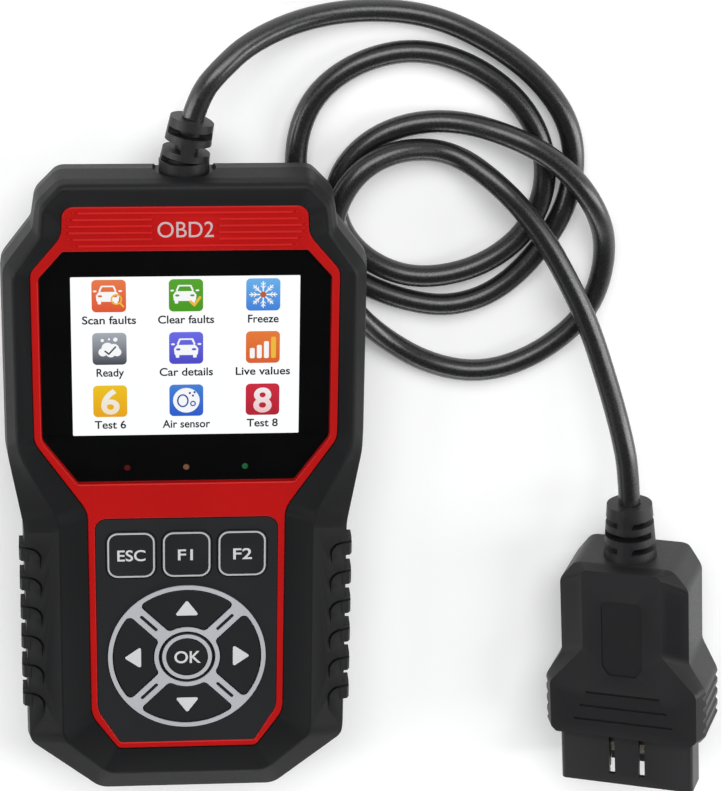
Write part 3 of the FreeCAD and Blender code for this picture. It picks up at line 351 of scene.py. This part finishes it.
def plate_data(loops, thickness):
    """A flat plate; a loop inside another is a hole. Points are in millimetres."""
    curve = bpy.data.curves.new("plate", "CURVE")
    curve.dimensions = "2D"
    curve.fill_mode = "BOTH"
    curve.extrude = thickness * MM / 2
    for loop in loops:
        spline = curve.splines.new("POLY")
        spline.points.add(len(loop) - 1)
        for point, (x, y) in zip(spline.points, loop):
            point.co = (x * MM, y * MM, 0, 1)
        spline.use_cyclic_u = True
    return curve


def plates(name, pieces, z, thickness, material, body=ROOT):
    """Flat plates, each a list of loops, whose undersides lie at height z in millimetres."""
    place = Matrix.Translation((0, 0, (z + thickness / 2) * MM))
    return collect(name, [(plate_data(loops, thickness), place) for loops in pieces], material, body)


def rounded(corners, radius, steps=6):
    """A closed loop with each corner replaced by an arc."""
    loop = []
    count = len(corners)
    for i, corner in enumerate(corners):
        here = Vector(corner).to_2d()
        u = (Vector(corners[i - 1]).to_2d() - here).normalized()
        v = (Vector(corners[(i + 1) % count]).to_2d() - here).normalized()
        half = u.angle(v) / 2
        start, end = here + u * radius / math.tan(half), here + v * radius / math.tan(half)
        middle = here + (u + v).normalized() * radius / math.sin(half)
        a = math.atan2(*(start - middle).yx)
        sweep = (math.atan2(*(end - middle).yx) - a + math.pi) % (2 * math.pi) - math.pi
        for step in range(steps + 1):
            angle = a + sweep * step / steps
            loop.append((middle.x + radius * math.cos(angle), middle.y + radius * math.sin(angle)))
    return loop


def box_loop(x, y, width, height, radius):
    """A rounded rectangle about its middle."""
    w, n = width / 2, height / 2
    return rounded([(x - w, y - n), (x + w, y - n), (x + w, y + n), (x - w, y + n)], radius)


def oval(x, y, rx, ry=None, steps=28):
    """An ellipse, or a circle when only one radius is given."""
    ry = rx if ry is None else ry
    turns = [2 * math.pi * i / steps for i in range(steps)]
    return [(x + rx * math.cos(t), y + ry * math.sin(t)) for t in turns]


def bar(x0, y0, x1, y1, width):
    """A straight stroke with round ends."""
    along = Vector((x1 - x0, y1 - y0))
    across = Vector((-along.y, along.x)).normalized() * width / 2
    tip = along.normalized() * width / 2
    a, b = Vector((x0, y0)) - tip, Vector((x1, y1)) + tip
    return rounded([a - across, b - across, b + across, a + across], width * 0.42, 4)


CAP_SHARE = 0.729    # a capital's height over the font's size


def text_data(text, cap_height, weight, thickness):
    """Upright lettering whose capitals are cap_height tall, centred across."""
    font = bpy.data.curves.new("lettering", "FONT")
    font.body = text
    font.align_x = "CENTER"
    font.size = cap_height * MM / CAP_SHARE
    font.offset = weight * cap_height * MM
    font.extrude = thickness * MM / 2
    font.resolution_u = 6
    return font


def lettering(name, text, at, cap_height, z, material, body, weight, width, thickness):
    """Lettering centred at x, with its baseline at y, stretched to the given width."""
    data = text_data(text, cap_height, weight, thickness)
    holder = bpy.data.objects.new("holder", data)
    bpy.context.scene.collection.objects.link(holder)
    bpy.context.view_layer.update()
    stretch = width * MM / holder.dimensions.x
    bpy.data.objects.remove(holder)
    x, y = at
    place = Matrix.Translation((x * MM, y * MM, (z + thickness / 2) * MM))
    return collect(name, [(data, place @ Matrix.Diagonal((stretch, 1, 1, 1)))], material, body)


# ---------------------------------------------------------------- cable

CABLE_ROUTE = [
    (2.25, 100.7, 18.0), (4.1, 106.7, 18.0), (8.5, 112.2, 17.2), (16.8, 118.8, 12.8), (31.0, 123.4, 6.4),
    (47.5, 124.8, 3.0), (64.0, 123.0, 3.0), (79.8, 115.5, 3.0), (92.8, 105.2, 3.0), (101.0, 92.5, 3.0),
    (101.8, 77.0, 3.0), (95.8, 62.6, 3.0), (84.0, 49.2, 3.0), (71.0, 44.3, 3.0), (57.5, 46.4, 3.0),
    (43.8, 52.5, 3.0), (34.0, 62.8, 3.0), (29.4, 76.2, 3.0), (29.0, 91.0, 3.0), (34.0, 103.2, 3.0),
    (45.5, 111.6, 3.0), (60.5, 114.6, 3.0), (76.6, 109.2, 3.0), (89.6, 97.6, 3.0), (95.4, 81.5, 3.0),
    (91.0, 65.6, 3.0), (78.2, 55.2, 3.0), (61.5, 52.0, 3.0), (48.4, 57.0, 3.0), (40.3, 66.4, 3.0),
    (39.0, 78.4, 3.0), (45.6, 88.6, 3.0), (56.8, 94.6, 3.0), (70.5, 95.6, 3.4), (84.0, 93.0, 9.3),
    (96.4, 86.2, 9.3), (106.2, 75.2, 9.3), (111.8, 60.5, 3.0), (108.4, 43.5, 3.0), (96.0, 31.4, 3.0),
    (80.5, 25.4, 3.0), (65.5, 28.0, 3.0), (52.0, 36.6, 4.0), (42.5, 47.5, 9.4), (38.0, 60.2, 9.4),
    (38.6, 73.6, 9.4), (45.0, 84.4, 9.3), (56.2, 89.0, 6.6), (70.0, 87.2, 3.2), (82.6, 78.9, 9.0),
    (92.6, 67.2, 9.4), (100.0, 54.6, 9.4), (106.5, 41.5, 9.4), (111.7, 26.6, 11.2), (115.7, 13.4, 14.2),
    (118.52, 1.37, 15.28), (119.39, -11.2, 15.28),
]
CABLE_DIAMETER = 5.8


def make_cable():
    """The cable, as a round cord along its route from the gland to the plug."""
    curve = bpy.data.curves.new("cable_cord", "CURVE")
    curve.dimensions = "3D"
    spline = curve.splines.new("NURBS")
    spline.points.add(len(CABLE_ROUTE) - 1)
    for point, place in zip(spline.points, CABLE_ROUTE):
        point.co = (*(value * MM for value in place), 1)
    spline.order_u = 3
    spline.use_endpoint_u = True
    spline.resolution_u = 8
    curve.bevel_depth = CABLE_DIAMETER * MM / 2
    curve.bevel_resolution = 6
    cable = bpy.data.objects.new("cable_cord", curve)
    bpy.context.scene.collection.objects.link(cable)
    curve.materials.append(plastic("cable_jacket", (0.0090, 0.0090, 0.0100), 0.31, grain=0.5, depth=0.12,
                                   mottle=0.12, specular=0.75))
    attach(cable, ROOT)
    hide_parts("cable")


# ---------------------------------------------------------------- the display's picture

TILE = 8.65
COLUMNS, ROWS = (-19.3, 0.1, 19.6), (57.2, 43.0, 28.7)
PICTURE_Z = node_top("lcd_panel") + 0.01
WHITE = (1.0, 1.0, 1.0)


def car(x, y, scale):
    """A plain car from the front: cabin, body with lamps, mirrors and tyres."""
    def at(points):
        return [(x + scale * a, y + scale * b) for a, b in points]
    cabin = [rounded(at([(-2.5, 0.7), (2.5, 0.7), (1.75, 2.5), (-1.75, 2.5)]), 0.35 * scale),
             rounded(at([(-2.0, 0.75), (2.0, 0.75), (1.4, 2.1), (-1.4, 2.1)]), 0.2 * scale)]
    outline = [(-2.9, -2.0), (2.9, -2.0), (3.1, -0.3), (2.4, 0.7), (-2.4, 0.7), (-3.1, -0.3)]
    hull = [rounded(at(outline), 0.35 * scale)]
    hull += [oval(x + side * 2.0 * scale, y - 0.45 * scale, 0.6 * scale, 0.32 * scale) for side in (-1, 1)]
    mirrors = [[oval(x + side * 3.35 * scale, y + 0.95 * scale, 0.5 * scale, 0.26 * scale)]
               for side in (-1, 1)]
    tyres = [[box_loop(x + side * 2.2 * scale, y - 2.25 * scale, 0.9 * scale, 0.9 * scale, 0.2 * scale)]
             for side in (-1, 1)]
    return [cabin, hull] + mirrors + tyres


def flake(x, y):
    """A snowflake of eight barbed arms."""
    shapes = []
    for i in range(8):
        c, s = math.cos(i * math.pi / 4), math.sin(i * math.pi / 4)
        shapes.append([bar(x + 0.9 * c, y + 0.9 * s, x + 3.4 * c, y + 3.4 * s, 0.32)])
        for reach, barb in ((1.7, 0.85), (2.5, 0.75)):
            for side in (-1, 1):
                a = (i + side * 0.95) * math.pi / 4
                shapes.append([bar(x + reach * c, y + reach * s, x + reach * c + barb * math.cos(a),
                                   y + reach * s + barb * math.sin(a), 0.2)])
    return shapes


def cloud(x, y):
    """A cloud of round puffs with three drops over it."""
    puffs = [(-1.7, -0.9, 1.1), (-0.5, 0.2, 1.5), (1.1, 0.0, 1.35), (1.9, -0.9, 1.1), (0.3, -1.1, 1.2)]
    drops = [(-1.8, 2.3, 0.42), (1.5, 2.5, 0.55), (-0.1, 2.6, 0.28)]
    return [[oval(x + a, y + b, r)] for a, b, r in puffs + drops]


def picture(name, shapes, z, look):
    plates(name, shapes, z, FILM, look)


def make_picture():
    """Nine tiles with plain signs, and a word under each."""
    x0, x1, x2 = COLUMNS
    top, mid, low = ROWS
    tiles = {
        "scan": (x0, top, (0.86, 0.10, 0.03), (0.93, 0.22, 0.07)),
        "clear": (x1, top, (0.07, 0.36, 0.01), (0.10, 0.42, 0.02)),
        "frost": (x2, top, (0.05, 0.24, 0.78), (0.16, 0.50, 0.95)),
        "ready": (x0, mid, (0.05, 0.06, 0.08), (0.45, 0.47, 0.53)),
        "car": (x1, mid, (0.08, 0.07, 0.62), (0.16, 0.16, 0.90)),
        "values": (x2, mid, (0.80, 0.13, 0.02), (0.92, 0.22, 0.04)),
        "test": (x0, low, (0.93, 0.42, 0.0), (0.98, 0.62, 0.01)),
        "air": (x1, low, (0.02, 0.11, 0.66), (0.06, 0.24, 0.76)),
        "system": (x2, low, (0.50, 0.01, 0.03), (0.70, 0.02, 0.05)),
    }
    for name, (x, y, lower, upper) in tiles.items():
        tile = box_loop(x, y, TILE, TILE, 1.15)
        picture(f"tile_{name}", [[tile]], PICTURE_Z, lit(f"lit_{name}", lower, upper))
    white = lit("lit_white", WHITE, strength=1.0)
    warm = lit("lit_warm", (0.98, 0.55, 0.05))
    sign_z = PICTURE_Z + 0.03
    signs = {
        "scan": car(x0 - 0.3, top + 0.4, 0.95),
        "clear": car(x1 - 0.3, top + 0.4, 0.95),
        "frost": flake(x2, top),
        "ready": cloud(x0, mid),
        "car": car(x1, mid + 0.1, 1.0),
        "values": [[box_loop(x2 + a, mid - 3 + n / 2, 1.25, n, 0.4)]
                   for a, n in ((-2.7, 2.8), (-0.9, 3.6), (0.9, 4.6))],
        "air": [[oval(x1, low, 3.4)]],
    }
    for name, shapes in signs.items():
        picture(f"sign_{name}", shapes, sign_z, white)
    extra_z = sign_z + 0.03
    lens = [[oval(x0 + 1.9, top - 0.9, 1.45), oval(x0 + 1.9, top - 0.9, 1.05)],
            [bar(x0 + 2.95, top - 2.0, x0 + 3.6, top - 2.8, 0.5)]]
    picture("sign_scan_lens", lens, extra_z, warm)
    tick = [[bar(x1 + 1.2, top - 1.7, x1 + 2.1, top - 2.6, 0.7)],
            [bar(x1 + 2.1, top - 2.6, x1 + 3.5, top - 0.6, 0.7)]]
    picture("sign_clear_tick", tick, extra_z, warm)
    picture("sign_frost_core", [[oval(x2, top, 0.8)]], extra_z, lit("lit_core", (0.55, 0.12, 0.03)))
    grey = lit("lit_slate", (0.07, 0.08, 0.10))
    tick = [[bar(x0 - 1.1, mid - 0.6, x0 - 0.2, mid - 1.4, 0.42)],
            [bar(x0 - 0.2, mid - 1.4, x0 + 1.5, mid + 0.5, 0.42)]]
    picture("sign_ready_tick", tick, extra_z, grey)
    picture("sign_values_last", [[box_loop(x2 + 2.7, mid - 0.1, 1.25, 5.8, 0.4)]], sign_z, warm)
    blue = lit("lit_ring", (0.02, 0.09, 0.42))
    rings = [[oval(x1 - 0.9, low - 0.1, 1.5, 1.8), oval(x1 - 0.9, low - 0.1, 1.1, 1.4)],
             [oval(x1 + 1.7, low - 0.9, 0.75), oval(x1 + 1.7, low - 0.9, 0.42)]]
    rings += [[oval(x1 + a, low + b, 0.3)] for a, b in ((0.9, 2.0), (1.7, 1.3), (2.1, 2.2))]
    picture("sign_air_rings", rings, extra_z, blue)
    figures = (("test", "6", x0, (1.0, 0.86, 0.62)), ("system", "8", x2, (1.0, 0.62, 0.62)))
    for name, figure, x, tint in figures:
        pale = lit(f"lit_figure_{name}", tint, WHITE)
        lettering(f"figure_{name}", figure, (x, low - 3.35), 6.7, sign_z, pale, ROOT,
                  0.035, 4.7, FILM)
    words = lit("lit_words", (0.012, 0.012, 0.014))
    captions = (
        ("Scan faults", 0, 0, 13.6), ("Clear faults", 1, 0, 14.2), ("Freeze", 2, 0, 7.8),
        ("Ready", 0, 1, 7.0), ("Car details", 1, 1, 13.6), ("Live values", 2, 1, 13.9),
        ("Test 6", 0, 2, 8.0), ("Air sensor", 1, 2, 12.2), ("Test 8", 2, 2, 8.0),
    )
    for text, column, row, width in captions:
        at = (COLUMNS[column], ROWS[row] - 7.5)
        lettering(f"caption_{column}_{row}", text, at, 2.2, PICTURE_Z, words, ROOT,
                  0.024, width, FILM)


# ---------------------------------------------------------------- legends on the keys and the case

SOFT_KEYS = {"key_esc": ("ESC", 7.3), "key_f1": ("F1", 3.9), "key_f2": ("F2", 4.9)}    # text and its width
KEY_TOP = node_top("key_ok")
NAV_CENTRE = (node_middle("key_up").x, node_middle("key_left").y)
RIB_HEIGHT = 0.3    # the header's ribs stand this far above the bezel's flat face
HEADER_TOP, TITLE_Y = node_top("red_bezel") - RIB_HEIGHT, 73.3


def triangle(distance, half_base, height, angle):
    """A rounded arrowhead on the round pad, pointing outwards at an angle from +Y."""
    low = distance - height / 2
    loop = rounded([(-half_base, low), (half_base, low), (0, low + height)], 0.42)
    c, s = math.cos(angle), math.sin(angle)
    return [(NAV_CENTRE[0] + c * x - s * y, NAV_CENTRE[1] + s * x + c * y) for x, y in loop]


def print_ink(name, colour, rough):
    return plastic(name, colour, rough, grain=0.3, depth=0.1, mottle=0.04, specular=0.2)


def make_legends():
    """The outlines, words and arrows printed on the keys, and the title on the header."""
    outline_ink = print_ink("legend_print", (0.42, 0.425, 0.445), 0.5)
    ink = print_ink("arrow_print", (0.57, 0.57, 0.585), 0.5)
    for body, (text, width) in SOFT_KEYS.items():
        x, y, _ = node_middle(body)
        loops = [box_loop(x, y, 12.3, 12.7, 2.7), box_loop(x, y, 11.4, 11.8, 2.3)]
        plates(f"outline_{body}", [loops], KEY_TOP, PRINT, outline_ink, body)
        lettering(f"legend_{body}", text, (x, y - 1.6), 3.2, KEY_TOP, ink, body,
                  0.018, width, PRINT)
    x, y = NAV_CENTRE
    lettering("legend_key_ok", "OK", (x, y - 1.8), 3.6, KEY_TOP, ink, "key_ok",
              0.018, 7.0, PRINT)
    for quarter, body in enumerate(("key_up", "key_left", "key_down", "key_right")):
        arrow = triangle(14.35, 3.2, 4.45, quarter * math.pi / 2)
        plates(f"arrow_{body}", [[arrow]], KEY_TOP, PRINT, ink, body)
    title = print_ink("title_print", (0.49, 0.37, 0.375), 0.45)
    lettering("title", "OBD2", (0, TITLE_Y), 4.3, HEADER_TOP, title, ROOT, 0.0, 14.0, PRINT)


# ---------------------------------------------------------------- materials of the CAD nodes

def dress_nodes():
    """Gives every CAD node its material; those not named here are the keys and the cable under its cord."""
    # The edge values below paint paler edges on these parts, partly wear and partly a painted highlight.
    case = plastic("case_texture", (0.0062, 0.0064, 0.0070), 0.5,
                   grain=0.3, depth=0.35, edge_wear_and_highlight=0.4, specular=0.18)
    back = plastic("back_texture", (0.012, 0.012, 0.013), 0.5,
                   grain=0.35, depth=0.35, edge_wear_and_highlight=0.5, specular=0.3)
    red = plastic("bezel_red_satin", (0.405, 0.005, 0.0045), 0.42,
                  grain=0.35, depth=0.18, mottle=0.05, edge_wear_and_highlight=0.35, specular=0.16)
    keypad = plastic("keypad_matt", (0.012, 0.0125, 0.0145), 0.62, grain=0.25, depth=0.3, specular=0.2)
    key = plastic("key_matt", (0.0095, 0.01, 0.0112), 0.6, grain=0.25, depth=0.3, edge_wear_and_highlight=0.3, specular=0.22)
    silver = plastic("trim_silver_print", (0.41, 0.415, 0.44), 0.42,
                     grain=0.3, depth=0.15, mottle=0.05, specular=0.3)
    soft_black = plastic("gland_rubber", (0.0095, 0.0095, 0.0105), 0.45,
                         grain=0.4, depth=0.3, edge_wear_and_highlight=0.3, specular=0.3)
    plug = plastic("plug_texture", (0.0095, 0.0095, 0.0105), 0.44,
                   grain=0.35, depth=0.4, edge_wear_and_highlight=0.45, specular=0.28)
    inner = plastic("inner_black", (0.012, 0.012, 0.012), 0.55)
    steel = metal("screw_plated", (0.52, 0.52, 0.54), 0.32)
    tin = metal("tin_plate", (0.62, 0.62, 0.62), 0.3, (12, 1, 1))
    looks = {
        "front_shell": case, "back_shell": back, "red_bezel": red, "keypad_panel": keypad,
        "nav_trim": silver, "ok_ring": silver, "display_lens": clear_lens(),
        "display_mask": plastic("mask_ink", (0.0011, 0.0011, 0.0013), 0.5,
                                grain=0.4, depth=0.05, specular=0.03),
        "lcd_panel": lit("lit_panel", (0.99, 0.99, 1.0), WHITE, 1.1, pixels=0.05),
        "lcd_backlight": plastic("backlight_frame", (0.7, 0.7, 0.68), 0.5),
        "lcd_flex": plastic("flex_film", (0.4, 0.16, 0.02), 0.3, grain=0.8, coat=0.3),
        "led_red": lamp_dome("led_red_dome", (0.11, 0.005, 0.004), 0.12),
        "led_amber": lamp_dome("led_amber_dome", (0.22, 0.10, 0.045), 0.12),
        "led_green": lamp_dome("led_green_dome", (0.012, 0.13, 0.045), 0.12),
        "main_board": board_green(), "inner_wires": coloured_wires(),
        "key_switches": tin, "cable_clamp": tin,
        "board_screws": steel, "case_screws": steel, "clamp_screws": steel,
        "board_chips": inner, "buzzer": inner, "inner_lead": inner,
        "cable_header": plastic("nylon_white", (0.66, 0.65, 0.6), 0.45, grain=0.6),
        "crimp_housing": plastic("nylon_cream", (0.6, 0.58, 0.5), 0.45, grain=0.6),
        "back_label": plastic("label_film", (0.40, 0.41, 0.42), 0.38, grain=0.6, depth=0.08, mottle=0.03),
        "gland": soft_black, "plug_strain_relief": soft_black,
        "plug_front_shell": plug, "plug_back_shell": plug,
        "plug_shroud": plastic("shroud_satin", (0.012, 0.012, 0.013), 0.42,
                               grain=0.35, depth=0.25, edge_wear_and_highlight=0.4, specular=0.3),
        "plug_core": plastic("core_satin", (0.012, 0.012, 0.013), 0.4, grain=0.4),
        "plug_pins": metal("pin_plate", (0.80, 0.74, 0.60), 0.25, (1, 6, 1)),
    }
    for name, node in nodes.items():
        look = looks.get(name, key if name.startswith("key_") else inner)
        node.data.materials.clear()
        node.data.materials.append(look)


def make_back_label_rows():
    """A plain frame and bars on the label at the back."""
    low, high = (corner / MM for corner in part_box("back_label"))
    ink = plastic("label_ink", (0.03, 0.03, 0.032), 0.5, grain=0.5, depth=0.05)
    x, y = (low.x + high.x) / 2, (low.y + high.y) / 2
    width, height = high.x - low.x - 3, high.y - low.y - 3
    frame_loops = [box_loop(x, y, width, height, 1.2), box_loop(x, y, width - 0.7, height - 0.7, 0.9)]
    bars = [[box_loop(x - 4 + 3 * (i % 2), y + 9 - 4.5 * i, width - 20 - 6 * (i % 2), 1.1, 0.4)]
            for i in range(5)]
    plates("label_rows", [frame_loops] + bars, low.z - PRINT, PRINT, ink, ROOT)


place_camera()
make_cable()
light_scene()
make_floor()
dress_nodes()
make_picture()
make_legends()
make_back_label_rows()
